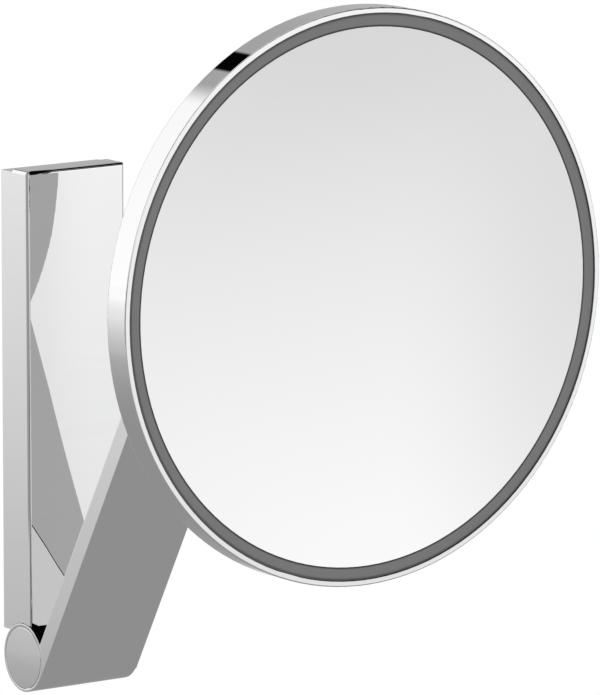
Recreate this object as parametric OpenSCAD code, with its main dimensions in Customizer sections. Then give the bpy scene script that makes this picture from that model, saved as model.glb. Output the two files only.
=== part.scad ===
// Extendable wall-mounted shaving mirror with a light ring.
// The origin is on the wall plane, at the centre of the wall profile.
// +Z is up, +X is to the right, and -Y points from the wall into the room.

/* [Pose at rest] */
// Angle of the arm from the wall profile, in degrees
arm_open = 30; // [10:1:60]
// Angle of the link from the arm's direction, in degrees
link_bend = 72; // [60:1:90]

/* [Wall profile] */
// Width of the wall profile and of the arm
prof_w = 45; // [42:1:60]
// Height of the wall profile
prof_h = 180; // [175:1:240]
// Depth of the rear base, from the wall to the seam
base_d = 7.9; // [7:0.1:10]
// Depth of the front cover, from the seam to the polished front
cover_d = 10.4; // [9:0.1:14]
// Wall thickness of the base's sides and of the cover
shell_t = 1.5; // [1:0.1:2]
// Thickness of the base's back plate
plate_t = 2; // [1.5:0.1:3]
// How much lower the base's top is than the cover's top
base_drop = 1.2; // [0.5:0.1:2]
// How far the cover's sides stand out past the base's sides
seam_step = 0.2; // [0.1:0.05:0.5]
// Radius of the cover's front and top edges
edge_r = 1.4; // [0.3:0.1:1.5]
// Radius of the soft crown across the cover's front
crown_r = 860; // [600:10:2000]
// Distance between the two wall screw holes
wall_hole_gap = 124; // [118:1:130]
// Height of the middle of the two wall screw holes
wall_hole_z = 13.5; // [12:0.5:15]
// Radius of a wall screw hole
wall_hole_r = 2.75; // [2:0.05:3.5]
// Radius of the cable inlet in the back plate
inlet_r = 6.5; // [5:0.1:7]
// Height of the cable inlet
inlet_z = -16.5; // [-18:0.5:-15]

/* [Hinge barrels] */
// Outer radius of a hinge barrel
barrel_r = 13.3; // [13:0.1:16]
// How far the lower barrel reaches up into the wall profile's foot
nest = 3.9; // [3:0.1:5]
// Wall thickness of a barrel
barrel_t = 1.2; // [0.9:0.1:1.6]
// Radius of the edges at a barrel's ends
barrel_edge_r = 0.9; // [0.3:0.1:1]
// Depth of the pocket between a barrel's end and its web
pocket_d = 7.7; // [7.5:0.1:8]
// Radius of the knuckle inside a barrel
knuckle_r = 11.5; // [9:0.1:11.5]
// Thickness of the two webs that carry an axle
web_t = 4; // [3:0.1:5]
// Radius of a hinge axle
axle_r = 4; // [3:0.1:4.5]
// Thickness of a friction washer
washer_t = 1.3; // [0.8:0.1:1.6]
// How far the barrel's slot reaches past the neck at both ends, in degrees
slot_spare = 3; // [2:0.5:5]
// Thickness of the barrel's end caps
cap_t = 1.8; // [1.2:0.1:2.2]
// How far an end cap stands out of its barrel
cap_proud = 0.3; // [0.1:0.1:0.8]
// Radius of the soft dome on an end cap's face
cap_dome_r = 450; // [300:10:1000]
// Radius of an end cap's outer edge
cap_edge_r = 0.25; // [0.1:0.05:0.4]

/* [Arm] */
// Distance between the arm's two hinge axes
arm_len = 203.7; // [200:0.1:260]
// Thickness of the arm
arm_t = 8.2; // [7:0.1:9]
// How far the arm's front stands out in front of the barrels
arm_proud = 0.85; // [0.5:0.05:1.2]
// How far the arm's plate runs past the two hinge axes
arm_past = 0.7; // [0.5:0.1:2]
// Wall thickness of the hollow arm
arm_wall = 1.6; // [1.2:0.1:2]
// Radius of the arm's long edges
arm_edge_r = 0.9; // [0.3:0.1:1]

/* [Link] */
// Distance from the arm's upper hinge to the tilt hinge
link_len = 56; // [50:1:70]
// Width of the link
link_w = 24; // [22:0.5:30]
// Thickness of the link
link_t = 9; // [7:0.5:10]
// Radius of the link's fork ears
ear_r = 9; // [7:0.5:10]
// Radius of the tilt axle and of the swivel pin
pin_r = 3; // [2.5:0.1:3.5]

/* [Swivel block] */
// Distance from the tilt axis to the swivel axis
neck_len = 14.6; // [14:0.1:18]
// Width of the block's tilt knuckle
block_w = 11; // [9:0.5:12]
// Radius of the block's tilt knuckle
block_r = 8; // [6.5:0.1:8.5]
// Radius of the block's swivel knuckle
post_r = 6.5; // [5:0.1:6.5]
// Height of the block's swivel knuckle
post_h = 16; // [16:0.5:20]

/* [Head] */
// Outer radius of the mirror head
head_r = 106.5; // [100:0.5:120]
// Depth of the mirror head
head_d = 11.5; // [11.5:0.5:16]
// Width of the housing's bright front lip
lip_w = 2; // [1.5:0.1:3]
// Thickness of the housing's back
back_t = 1.5; // [1:0.1:2]
// Radius of the housing's rear edge
rear_r = 0.6; // [0.3:0.1:1.5]
// Radius of the front lip's outer edge
lip_r = 0.5; // [0.2:0.1:0.8]
// Visible width of the light ring
ring_w = 4.9; // [4:0.1:8]
// Thickness of the light ring
ring_t = 3; // [2:0.1:3.5]
// How far the light ring and the glass lie behind the lip
ring_sink = 0.7; // [0.3:0.1:1]
// Radius of the concave reflecting face
curve_r = 1500; // [1400:10:4000]
// Thickness of the glass
glass_t = 2.5; // [2:0.1:2.6]
// Number of diodes in the light ring
led_count = 48; // [24:12:72]
// Distance from the swivel axis to the housing's back
bracket_reach = 11.5; // [11.5:0.5:16]
// Side of the bracket's square plate
bracket_w = 40; // [36:1:44]
// Thickness of the bracket's plate
bracket_t = 3; // [2:0.1:3]
// Thickness of the bracket's two lugs
lug_t = 4; // [3:0.1:5]
// Side of the square on which the bracket's screws stand
screw_square = 28; // [26:1:30]

/* [Fits] */
// Radial clearance of a shaft that turns in its bore
run_fit = 0.05; // [0.02:0.01:0.1]
// Radial clearance of a shaft that is clamped in its hole
clamp_fit = 0.1; // [0.05:0.01:0.15]
// Gap between faces that pass each other
side_gap = 0.3; // [0.2:0.05:0.5]
// Gap round pieces that are set into a seat
seat_gap = 0.15; // [0.1:0.05:0.25]
// Gap between the wall profile's foot and the barrel that turns in it
hinge_gap = 0.3; // [0.3:0.1:2]

/* [Hidden] */
$fn = 96;
// Reach of a cutting shape past the face that it cuts
over = 1;
// Depth of the wall profile and the front of the room inside its cover
prof_d = base_d + cover_d;
room_front = prof_d - shell_t;
// Place of the vertical axis about which the cover's front is crowned
crown_y = crown_r - prof_d;
// Place of the lower hinge axis
hinge_y = -(barrel_r + side_gap);
hinge_z = nest - prof_h / 2 - hinge_gap - barrel_r;
// Radius of the hollow in the profile's foot
foot_r = barrel_r + hinge_gap;
// Inside of a barrel
arm_w = prof_w;
barrel_w = arm_w;
bore_r = barrel_r - barrel_t;
cap_seat = 0.8;
pocket_r = bore_r - cap_seat;
web_out = barrel_w / 2 - pocket_d;
web_in = web_out - web_t;
knuckle_w = 2 * (web_in - washer_t - side_gap);
cap_in = barrel_w / 2 + cap_proud - cap_t;
// Hinge hardware
axle_head_r = axle_r + 3;
axle_head_t = 3;
spring_t = 0.7;
spring_rise = 0.4;
spring_h = spring_t + spring_rise;
nut_t = 2.8;
axle_end = web_out + 2 * spring_h + nut_t;
// Neck of the wall knuckle, measured from the hinge axis
neck_front = room_front - side_gap + hinge_y;
neck_t = 6;
neck_back = neck_t - neck_front;
// Block of the wall knuckle inside the profile
block_half = knuckle_w / 2 + 4;
block_z0 = hinge_z + foot_r + shell_t + seat_gap;
block_h = 22;
knuckle_screw_x = block_half - 5;
knuckle_screw_r = 2.5;
knuckle_head_r = 4;
knuckle_head_t = 3.5;
// Lugs inside the cover's sides; the cover's two screws enter the right ones
lug_w = 5;
lug_x = prof_w / 2 - shell_t - side_gap - lug_w / 2;
lug_h = 7;
lug_front = 15;
lug_low_z = block_z0 + block_h + 10;
lug_high_z = prof_h / 2 - 20;
top_lug_w = 30;
cover_screw_r = 1.5;
cover_screw_head_r = 2.8;
cover_screw_len = 6.5;
cover_screw_y = -(base_d + lug_front) / 2;
// Driver and terminal block
driver_w = 30;
driver_h = 56;
driver_d = 10;
driver_z = 29.5;
tab_h = 6;
tab_t = 1.5;
terminal_w = 24;
terminal_h = 14;
terminal_d = 10;
terminal_z = -32.5;
poles = 3;
pole_pitch = 7.5;
small_screw_r = 1.5;
small_head_r = 2.8;
small_head_t = 1.6;
// Swing of the arm either way from rest, in degrees
arm_back = 20;
arm_fore = 60;
// Fork of the link and its washers
fork_in = block_w / 2 + side_gap + washer_t;
pin_head_r = pin_r + 2.5;
pin_head_t = 2.5;
pin_nut_t = 2.5;
link_start = barrel_r + arm_proud + 1.2;
// Lugs of the head bracket
lug_in = post_h / 2 + side_gap + washer_t;
lug_out = lug_in + lug_t;
// Depths inside the head, measured back from its front plane
tilt_depth = head_d + bracket_reach + neck_len;
housing_in_r = head_r - lip_w;
ring_out_r = housing_in_r - seat_gap;
ring_in_r = ring_out_r - ring_w;
glass_r = ring_in_r - seat_gap;
glass_sag = glass_r * glass_r / (2 * curve_r);
vertex_front = ring_sink + glass_sag;
vertex_back = vertex_front + glass_t;
chassis_back = head_d - back_t;
chassis_t = 1.5;
floor_depth = chassis_back - chassis_t;
wall_t = 1.4;
head_screw_r = 2;
head_screw_head_r = 3.5;
head_screw_head_t = 1.3;
board_t = 1;
led_size = 2.8;
led_t = 0.8;
pad_in = 50;
pad_w = 14;
pad_angle = 80;
pad_gap = 0.03;

// ---------- frames ----------

// The arm's frame: the origin on the lower hinge axis, +Z along the arm
module at_arm() {
    translate([0, hinge_y, hinge_z])
        rotate([arm_open, 0, 0])
            children();
}

// The link's frame: the origin on the upper hinge axis, +Z along the link
module at_link() {
    at_arm()
        translate([0, 0, arm_len])
            rotate([link_bend, 0, 0])
                children();
}

// The tilt hinge's frame: the origin on the tilt axis, upright
module at_tilt() {
    at_link()
        translate([0, 0, link_len])
            rotate([-arm_open - link_bend, 0, 0])
                children();
}

// The head's frame: the origin at the centre of the front plane, upright
module at_head() {
    at_tilt()
        translate([0, -tilt_depth, 0])
            children();
}

// Turns a solid of revolution so that its +Z points back, towards the wall
module facing_back() {
    rotate([-90, 0, 0])
        children();
}

// ---------- shared shapes ----------

// A cylinder along X between two places
module x_cyl(r, x0, x1, sides = $fn) {
    translate([x0, 0, 0])
        rotate([0, 90, 0])
            cylinder(r = r, h = x1 - x0, $fn = sides);
}

// A box between two corners
module span(low, high) {
    translate(low)
        cube(high - low);
}

// What a rounded corner at the origin, pointing to +X and +Y, takes away
module corner_cut(r) {
    difference() {
        translate([-r, -r])
            square(2 * r);
        translate([-r, -r])
            circle(r);
    }
}

// A rectangle about the origin with its four corners rounded
module rounded(w, h, r) {
    difference() {
        square([w, h], center = true);
        for (mx = [0, 1], my = [0, 1])
            mirror([mx, 0])
                mirror([0, my])
                    translate([w / 2, h / 2])
                        corner_cut(r);
    }
}

// A pair of copies, mirrored across X = 0
module both_sides() {
    for (side = [0, 1])
        mirror([side, 0, 0])
            children();
}

// A screw along +Z whose head's underside is at the origin
module screw(r, len, head_r, head_t) {
    union() {
        cylinder(r = r, h = len);
        translate([0, 0, -head_t])
            cylinder(r = head_r, h = head_t);
    }
}

// ---------- hinge hardware, in the frame of its own axis ----------

module hinge_axle() {
    union() {
        x_cyl(axle_r, -web_out - over / 2, axle_end);
        x_cyl(axle_head_r, -web_out - axle_head_t, -web_out);
    }
}

module hinge_washers() {
    both_sides()
        difference() {
            x_cyl(knuckle_r, web_in - washer_t, web_in);
            x_cyl(axle_r + clamp_fit, web_in - washer_t - over, web_in + over);
        }
}

module disc_spring() {
    rotate([0, 90, 0])
        rotate_extrude()
            polygon([
                [axle_r + clamp_fit, spring_rise],
                [axle_head_r, 0],
                [axle_head_r, spring_t],
                [axle_r + clamp_fit, spring_h]
            ]);
}

module hinge_springs() {
    translate([web_out, 0, 0])
        disc_spring();
    translate([web_out + 2 * spring_h, 0, 0])
        mirror([1, 0, 0])
            disc_spring();
}

module hinge_nut() {
    difference() {
        x_cyl(axle_head_r, web_out + 2 * spring_h, axle_end, 6);
        x_cyl(axle_r + clamp_fit, web_out, axle_end + over);
    }
}

module hinge_caps() {
    cap_r = bore_r - seat_gap;
    dome_r = cap_r - 1.5 * cap_edge_r;
    dome_h = cap_dome_r - sqrt(cap_dome_r * cap_dome_r - dome_r * dome_r);
    cap_out = barrel_w / 2 + cap_proud;
    both_sides()
        difference() {
            union() {
                rotate([0, 90, 0])
                    rotate_extrude()
                        difference() {
                            translate([0, cap_in])
                                square([cap_r, cap_t - dome_h]);
                            translate([cap_r, cap_out - dome_h])
                                corner_cut(cap_edge_r);
                        }
                cap_dome(dome_r, cap_in, cap_out);
            }
            cap_dome(dome_r, cap_in - over, cap_in + dome_h);
        }
}

// A round piece about the X axis whose outer end is softly domed
module cap_dome(r, from, top) {
    intersection() {
        x_cyl(r, from, top + over);
        translate([top - cap_dome_r, 0, 0])
            rotate([0, 0, 90])
                sphere(r = cap_dome_r, $fn = 8 * $fn);
    }
}

// Outside of a barrel, with slightly rounded ends
module barrel_outside() {
    rotate([0, 90, 0])
        rotate_extrude()
            difference() {
                translate([0, -barrel_w / 2])
                    square([barrel_r, barrel_w]);
                for (my = [0, 1])
                    mirror([0, my])
                        translate([barrel_r, barrel_w / 2])
                            corner_cut(barrel_edge_r);
            }
}

// The hollows inside a barrel: the knuckle's room, two pockets and the caps' seats
module barrel_inside() {
    x_cyl(bore_r, -web_in, web_in);
    both_sides() {
        x_cyl(pocket_r, web_out, barrel_w / 2 + over);
        x_cyl(bore_r, cap_in, barrel_w / 2 + over);
    }
    x_cyl(axle_r + clamp_fit, -web_out - over, web_out + over);
}

// ---------- wall profile ----------

base_top = prof_h / 2 - base_drop;
base_side = prof_w / 2 - seam_step;

// The round hollow in the profile's foot, grown by a wall
module foot_hollow(grow = 0) {
    translate([0, hinge_y, hinge_z])
        x_cyl(foot_r + grow, -prof_w, prof_w, 2 * $fn);
}

// The two places of the lugs on one side, as heights
module at_lugs() {
    for (z = [lug_low_z, lug_high_z])
        translate([0, 0, z])
            children();
}

module wall_base() {
    color("gainsboro")
        difference() {
            union() {
                difference() {
                    span([-base_side, -base_d, -prof_h / 2], [base_side, 0, base_top]);
                    difference() {
                        span(
                            [-base_side + shell_t, -base_d - over, -prof_h / 2 + shell_t],
                            [base_side - shell_t, -plate_t, base_top - shell_t]
                        );
                        foot_hollow(shell_t);
                    }
                }
                both_sides()
                    at_lugs()
                        span(
                            [lug_x - lug_w / 2, -lug_front, -lug_h / 2],
                            [lug_x + lug_w / 2, -plate_t + over / 2, lug_h / 2]
                        );
                span(
                    [-top_lug_w / 2, -lug_front, base_top - 2 * shell_t],
                    [top_lug_w / 2, -plate_t + over / 2, base_top - shell_t / 2]
                );
            }
            foot_hollow();
            for (z = [-1, 1])
                translate([0, over, wall_hole_z + z * wall_hole_gap / 2])
                    rotate([90, 0, 0])
                        cylinder(r = wall_hole_r, h = plate_t + 2 * over);
            translate([0, over, inlet_z])
                rotate([90, 0, 0])
                    cylinder(r = inlet_r, h = plate_t + 2 * over);
            at_lugs()
                translate([0, cover_screw_y, 0])
                    x_cyl(cover_screw_r + clamp_fit, lug_x - lug_w / 2 - over, prof_w / 2);
            both_sides()
                translate([knuckle_screw_x, over, block_z0 + block_h / 2])
                    rotate([90, 0, 0])
                        cylinder(r = knuckle_screw_r + clamp_fit, h = plate_t + 2 * over);
            for (z = [-1, 1])
                translate([0, over, driver_z + z * (driver_h - tab_h) / 2])
                    rotate([90, 0, 0])
                        cylinder(r = small_screw_r + clamp_fit, h = plate_t + 2 * over);
        }
}

// Outside of the cover: a crowned front, rounded along its sides and its top
module cover_outside() {
    corner_x = prof_w / 2 - edge_r;
    lean = asin(corner_x / (crown_r - edge_r));
    corner_y = crown_y - (crown_r - edge_r) * cos(lean);
    difference() {
        intersection() {
            translate([0, crown_y, 0])
                rotate_extrude($fn = 8 * $fn)
                    difference() {
                        translate([0, -prof_h / 2])
                            square([crown_r, prof_h]);
                        translate([crown_r, prof_h / 2])
                            corner_cut(edge_r);
                    }
            span([-prof_w / 2, -prof_d - over, -prof_h], [prof_w / 2, -base_d, prof_h]);
        }
        both_sides() {
            translate([corner_x, corner_y, -prof_h])
                linear_extrude(2 * prof_h)
                    difference() {
                        polygon([
                            [0, 0],
                            [2 * edge_r, 0],
                            [2 * edge_r, -2 * edge_r],
                            [2 * edge_r * sin(lean), -2 * edge_r * cos(lean)]
                        ]);
                        circle(r = edge_r);
                    }
            translate([prof_w / 2, over, prof_h / 2])
                rotate([90, 0, 0])
                    linear_extrude(prof_d + 3 * over)
                        corner_cut(edge_r);
        }
    }
}

// The room inside the cover, behind a front of even thickness
module cover_inside() {
    difference() {
        intersection() {
            translate([0, crown_y, -prof_h])
                cylinder(r = crown_r - shell_t, h = 2 * prof_h, $fn = 8 * $fn);
            span(
                [-prof_w / 2 + shell_t, -prof_d, -prof_h / 2 - over],
                [prof_w / 2 - shell_t, 0, prof_h / 2 - shell_t]
            );
        }
        foot_hollow(shell_t);
    }
}

module wall_cover() {
    color("whitesmoke")
        difference() {
            cover_outside();
            cover_inside();
            foot_hollow();
            span(
                [-knuckle_w / 2 - side_gap, side_gap / 2 - room_front, -prof_h / 2 - over],
                [knuckle_w / 2 + side_gap, 0, 0]
            );
            at_lugs()
                at_cover_screw()
                    countersink(clamp_fit);
        }
}

// A frame on the profile's right side, with +Z pointing into the profile
module at_cover_screw() {
    translate([prof_w / 2, cover_screw_y, 0])
        rotate([0, -90, 0])
            children();
}

// A countersunk head at the origin, point upwards, grown by a clearance
module countersink(grow) {
    cone_h = cover_screw_head_r - cover_screw_r;
    translate([0, 0, -over])
        cylinder(r = cover_screw_r + grow, h = shell_t + 2 * over);
    rotate_extrude()
        polygon([
            [0, -grow],
            [cover_screw_head_r + grow, -grow],
            [cover_screw_head_r + grow, 0],
            [cover_screw_r + grow, cone_h],
            [0, cone_h]
        ]);
}

module cover_screws() {
    cone_h = cover_screw_head_r - cover_screw_r;
    color("silver")
        at_lugs()
            at_cover_screw()
                rotate_extrude()
                    polygon([
                        [0, 0],
                        [cover_screw_head_r, 0],
                        [cover_screw_r, cone_h],
                        [cover_screw_r, cover_screw_len],
                        [0, cover_screw_len]
                    ]);
}

module inlet_grommet() {
    color("dimgray")
        translate([0, 0, inlet_z])
            rotate([90, 0, 0])
                difference() {
                    union() {
                        translate([0, 0, seat_gap])
                            cylinder(r = inlet_r - seat_gap, h = plate_t);
                        translate([0, 0, plate_t])
                            cylinder(r = inlet_r + 1.5, h = 1.2);
                    }
                    translate([0, 0, -over])
                        cylinder(r = inlet_r - 2, h = plate_t + 4 * over);
                }
}

module led_driver() {
    color("white")
        translate([0, -plate_t, driver_z])
            difference() {
                union() {
                    span(
                        [-driver_w / 2, -driver_d, -driver_h / 2 + tab_h],
                        [driver_w / 2, 0, driver_h / 2 - tab_h]
                    );
                    span(
                        [-driver_w / 4, -tab_t, -driver_h / 2],
                        [driver_w / 4, 0, driver_h / 2]
                    );
                }
                for (z = [-1, 1])
                    translate([0, over, z * (driver_h - tab_h) / 2])
                        rotate([90, 0, 0])
                            cylinder(r = small_screw_r + clamp_fit, h = tab_t + 2 * over);
            }
}

module driver_screws() {
    color("silver")
        for (z = [-1, 1])
            translate([0, -plate_t - tab_t, driver_z + z * (driver_h - tab_h) / 2])
                facing_back()
                    screw(small_screw_r, plate_t + tab_t - side_gap, small_head_r, small_head_t);
}

module terminal_block() {
    color("ivory")
        translate([0, -plate_t, terminal_z])
            difference() {
                span(
                    [-terminal_w / 2, -terminal_d, -terminal_h / 2],
                    [terminal_w / 2, 0, terminal_h / 2]
                );
                for (p = [0 : poles - 1])
                    translate([(p - (poles - 1) / 2) * pole_pitch, 0, 0]) {
                        translate([0, -terminal_d / 2, -terminal_h])
                            cylinder(r = 1.6, h = 2 * terminal_h);
                        translate([0, -terminal_d / 2, 0])
                            rotate([90, 0, 0])
                                cylinder(r = 2, h = terminal_d);
                    }
            }
}

module terminal_screws() {
    color("goldenrod")
        for (p = [0 : poles - 1])
            translate([
                (p - (poles - 1) / 2) * pole_pitch,
                -plate_t - terminal_d / 2 - 0.6,
                terminal_z
            ])
                rotate([90, 0, 0])
                    cylinder(r = 2 - clamp_fit, h = 3);
}

// ---------- wall hinge ----------

module wall_knuckle() {
    color("silver")
        difference() {
            union() {
                translate([0, hinge_y, hinge_z])
                    x_cyl(knuckle_r, -knuckle_w / 2, knuckle_w / 2);
                span(
                    [-knuckle_w / 2, hinge_y - neck_front, hinge_z],
                    [knuckle_w / 2, hinge_y + neck_back, block_z0 + block_h]
                );
                span(
                    [-block_half, -room_front + side_gap, block_z0],
                    [block_half, -plate_t, block_z0 + block_h]
                );
            }
            translate([0, hinge_y, hinge_z])
                x_cyl(axle_r + run_fit, -knuckle_w, knuckle_w);
            both_sides()
                translate([knuckle_screw_x, 0, block_z0 + block_h / 2])
                    rotate([90, 0, 0])
                        knuckle_screw_hole();
        }
}

// Stepped hole for a screw through the wall knuckle, from the wall outwards
module knuckle_screw_hole() {
    cylinder(r = knuckle_screw_r + clamp_fit, h = prof_d);
    translate([0, 0, room_front - side_gap - knuckle_head_t - side_gap])
        cylinder(r = knuckle_head_r + clamp_fit, h = prof_d);
}

module knuckle_screws() {
    seat = room_front - 2 * side_gap - knuckle_head_t;
    color("silver")
        both_sides()
            translate([knuckle_screw_x, -seat, block_z0 + block_h / 2])
                facing_back()
                    screw(knuckle_screw_r, seat - side_gap, knuckle_head_r, knuckle_head_t);
}

module lower_axle() {
    color("silver")
        at_arm()
            hinge_axle();
}

module lower_washers() {
    color("ivory")
        at_arm()
            hinge_washers();
}

module lower_springs() {
    color("slategray")
        at_arm()
            hinge_springs();
}

module lower_nut() {
    color("silver")
        at_arm()
            hinge_nut();
}

module lower_caps() {
    color("whitesmoke")
        at_arm()
            hinge_caps();
}

// ---------- arm ----------

// Half angle of the neck's front and back faces where they leave the barrel
slot_low = -asin(neck_front / bore_r) - slot_spare;
slot_high = asin(neck_back / bore_r) + slot_spare;

// The sector that the wall knuckle's neck sweeps through the lower barrel
module neck_sweep() {
    first = arm_open - arm_back + slot_low;
    last = arm_open + arm_fore + slot_high;
    mirror([0, 0, 1])
        rotate([0, 90, 0])
            translate([0, 0, -web_in])
                rotate([0, 0, first])
                    rotate_extrude(angle = last - first)
                        square([barrel_r + over, 2 * web_in]);
}

module arm_body() {
    flat_front = barrel_r + arm_proud;
    flat_back = flat_front - arm_t;
    color("lightgray")
        at_arm()
            difference() {
                union() {
                    translate([0, -(flat_front + flat_back) / 2, -arm_past])
                        linear_extrude(arm_len + 2 * arm_past)
                            rounded(arm_w, arm_t, arm_edge_r);
                    barrel_outside();
                    translate([0, 0, arm_len])
                        barrel_outside();
                }
                barrel_inside();
                translate([0, 0, arm_len])
                    barrel_inside();
                neck_sweep();
                span(
                    [-web_in, -flat_front - over, arm_len - bore_r],
                    [web_in, barrel_r + over, arm_len + barrel_r + over]
                );
                span(
                    [-arm_w / 2 + 3 * arm_wall, arm_wall - flat_front, barrel_r - over],
                    [arm_w / 2 - 3 * arm_wall, -flat_back - arm_wall, arm_len - barrel_r + over]
                );
            }
}

module upper_axle() {
    color("silver")
        at_arm()
            translate([0, 0, arm_len])
                hinge_axle();
}

module upper_washers() {
    color("ivory")
        at_arm()
            translate([0, 0, arm_len])
                hinge_washers();
}

module upper_springs() {
    color("slategray")
        at_arm()
            translate([0, 0, arm_len])
                hinge_springs();
}

module upper_nut() {
    color("silver")
        at_arm()
            translate([0, 0, arm_len])
                hinge_nut();
}

module upper_caps() {
    color("whitesmoke")
        at_arm()
            translate([0, 0, arm_len])
                hinge_caps();
}

// ---------- link ----------

module link_arm() {
    fork_root = link_len - block_r - 2 * side_gap - over;
    color("lightgray")
        at_link()
            difference() {
                union() {
                    x_cyl(knuckle_r, -knuckle_w / 2, knuckle_w / 2);
                    span(
                        [-knuckle_w / 2, -link_t / 2, 0],
                        [knuckle_w / 2, link_t / 2, link_start + over]
                    );
                    translate([0, 0, link_start])
                        linear_extrude(link_len - link_start)
                            rounded(link_w, link_t, arm_edge_r);
                    translate([0, 0, link_len])
                        x_cyl(ear_r, -link_w / 2, link_w / 2);
                }
                x_cyl(axle_r + run_fit, -knuckle_w, knuckle_w);
                translate([0, 0, link_len])
                    x_cyl(pin_r + clamp_fit, -link_w, link_w);
                span(
                    [-fork_in, -ear_r - over, fork_root],
                    [fork_in, ear_r + over, link_len + ear_r + over]
                );
            }
}

module tilt_axle() {
    color("silver")
        at_tilt() {
            x_cyl(pin_r, -link_w / 2 - over / 2, link_w / 2 + pin_nut_t + over / 2);
            x_cyl(pin_head_r, -link_w / 2 - pin_head_t, -link_w / 2);
        }
}

module tilt_washers() {
    color("ivory")
        at_tilt()
            both_sides()
                difference() {
                    x_cyl(block_r - over, fork_in - washer_t, fork_in);
                    x_cyl(pin_r + clamp_fit, fork_in - washer_t - over, fork_in + over);
                }
}

module tilt_nut() {
    color("silver")
        at_tilt()
            difference() {
                x_cyl(pin_head_r, link_w / 2, link_w / 2 + pin_nut_t, 6);
                x_cyl(pin_r + clamp_fit, link_w / 2 - over, link_w / 2 + 2 * pin_nut_t);
            }
}

// ---------- swivel ----------

module swivel_block() {
    color("silver")
        at_tilt()
            difference() {
                union() {
                    x_cyl(block_r, -block_w / 2, block_w / 2);
                    span([-block_w / 2, -neck_len, -block_r * 3 / 4], [block_w / 2, 0, block_r * 3 / 4]);
                    translate([0, -neck_len, -post_h / 2])
                        cylinder(r = post_r, h = post_h);
                }
                x_cyl(pin_r + run_fit, -block_w, block_w);
                translate([0, -neck_len, -post_h])
                    cylinder(r = pin_r + run_fit, h = 2 * post_h);
            }
}

// ---------- head ----------

// A pair of copies, one above and one below the link's level
module above_and_below() {
    for (side = [0, 1])
        mirror([0, 0, side])
            children();
}

module head_bracket() {
    color("silver")
        at_tilt()
            translate([0, -neck_len, 0])
                difference() {
                    union() {
                        translate([0, -bracket_reach + bracket_t, 0])
                            rotate([90, 0, 0])
                                linear_extrude(bracket_t)
                                    rounded(bracket_w, bracket_w, 4);
                        above_and_below()
                            translate([0, 0, lug_in]) {
                                cylinder(r = post_r, h = lug_t);
                                span(
                                    [-post_r, -bracket_reach + bracket_t / 2, 0],
                                    [post_r, 0, lug_t]
                                );
                            }
                    }
                    translate([0, 0, -lug_out - over])
                        cylinder(r = pin_r + clamp_fit, h = 2 * (lug_out + over));
                    bracket_screw_places()
                        translate([0, -bracket_reach - over, 0])
                            facing_back()
                                cylinder(r = head_screw_r + clamp_fit, h = bracket_t + 2 * over);
                }
}

// The four corners of the bracket's screw square
module bracket_screw_places() {
    for (x = [-1, 1], z = [-1, 1])
        translate([x * screw_square / 2, 0, z * screw_square / 2])
            children();
}

module swivel_pin() {
    color("silver")
        at_tilt()
            translate([0, -neck_len, 0]) {
                translate([0, 0, -lug_out - pin_nut_t - over / 2])
                    cylinder(r = pin_r, h = 2 * lug_out + pin_nut_t + over);
                translate([0, 0, lug_out])
                    cylinder(r = pin_head_r, h = pin_head_t);
            }
}

module swivel_washers() {
    color("ivory")
        at_tilt()
            translate([0, -neck_len, 0])
                above_and_below()
                    translate([0, 0, lug_in - washer_t])
                        difference() {
                            cylinder(r = post_r, h = washer_t);
                            translate([0, 0, -over])
                                cylinder(r = pin_r + clamp_fit, h = washer_t + 2 * over);
                        }
}

module swivel_nut() {
    color("silver")
        at_tilt()
            translate([0, -neck_len, -lug_out - pin_nut_t])
                difference() {
                    cylinder(r = pin_head_r, h = pin_nut_t, $fn = 6);
                    translate([0, 0, -over])
                        cylinder(r = pin_r + clamp_fit, h = pin_nut_t + 2 * over);
                }
}

module head_housing() {
    color("gainsboro")
        at_head()
            difference() {
                facing_back()
                    rotate_extrude($fn = 2 * $fn)
                        difference() {
                            square([head_r, head_d]);
                            translate([0, -over])
                                square([housing_in_r, chassis_back + over]);
                            translate([head_r, head_d])
                                corner_cut(rear_r);
                            translate([head_r, 0])
                                mirror([0, 1])
                                    corner_cut(lip_r);
                        }
                bracket_screw_places()
                    facing_back()
                        cylinder(r = head_screw_r + clamp_fit, h = head_d + over);
            }
}

module head_chassis() {
    color("white")
        at_head()
            difference() {
                facing_back()
                    rotate_extrude($fn = 2 * $fn) {
                        translate([0, floor_depth])
                            square([ring_out_r, chassis_t]);
                        translate([ring_out_r - wall_t, ring_sink + ring_t])
                            square([wall_t, floor_depth - ring_sink - ring_t + chassis_t]);
                        translate([glass_r - 2 * wall_t, vertex_back - glass_sag + side_gap])
                            square([
                                2 * wall_t,
                                floor_depth - vertex_back + glass_sag - side_gap + chassis_t
                            ]);
                    }
                bracket_screw_places()
                    facing_back()
                        cylinder(r = head_screw_r + clamp_fit, h = head_d + over);
            }
}

module head_screws() {
    color("silver")
        at_head()
            bracket_screw_places()
                translate([0, floor_depth, 0])
                    facing_back()
                        screw(
                            head_screw_r,
                            chassis_t + back_t + bracket_t - side_gap,
                            head_screw_head_r,
                            head_screw_head_t
                        );
}

board_in = glass_r + seat_gap;
board_out = ring_out_r - wall_t - seat_gap;

module led_board() {
    color("seagreen")
        at_head()
            facing_back()
                rotate_extrude($fn = 2 * $fn)
                    translate([board_in, floor_depth - board_t])
                        square([board_out - board_in, board_t]);
}

module leds() {
    color("lightyellow")
        at_head()
            for (i = [0 : led_count - 1])
                rotate([0, i * 360 / led_count, 0])
                    translate([
                        (board_in + board_out) / 2 - led_size / 2,
                        floor_depth - board_t - led_t,
                        -led_size / 2
                    ])
                        cube([led_size, led_t, led_size]);
}

module light_ring() {
    color("gray")
        at_head()
            facing_back()
                rotate_extrude($fn = 2 * $fn)
                    translate([ring_in_r, ring_sink])
                        square([ring_w, ring_t]);
}

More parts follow.
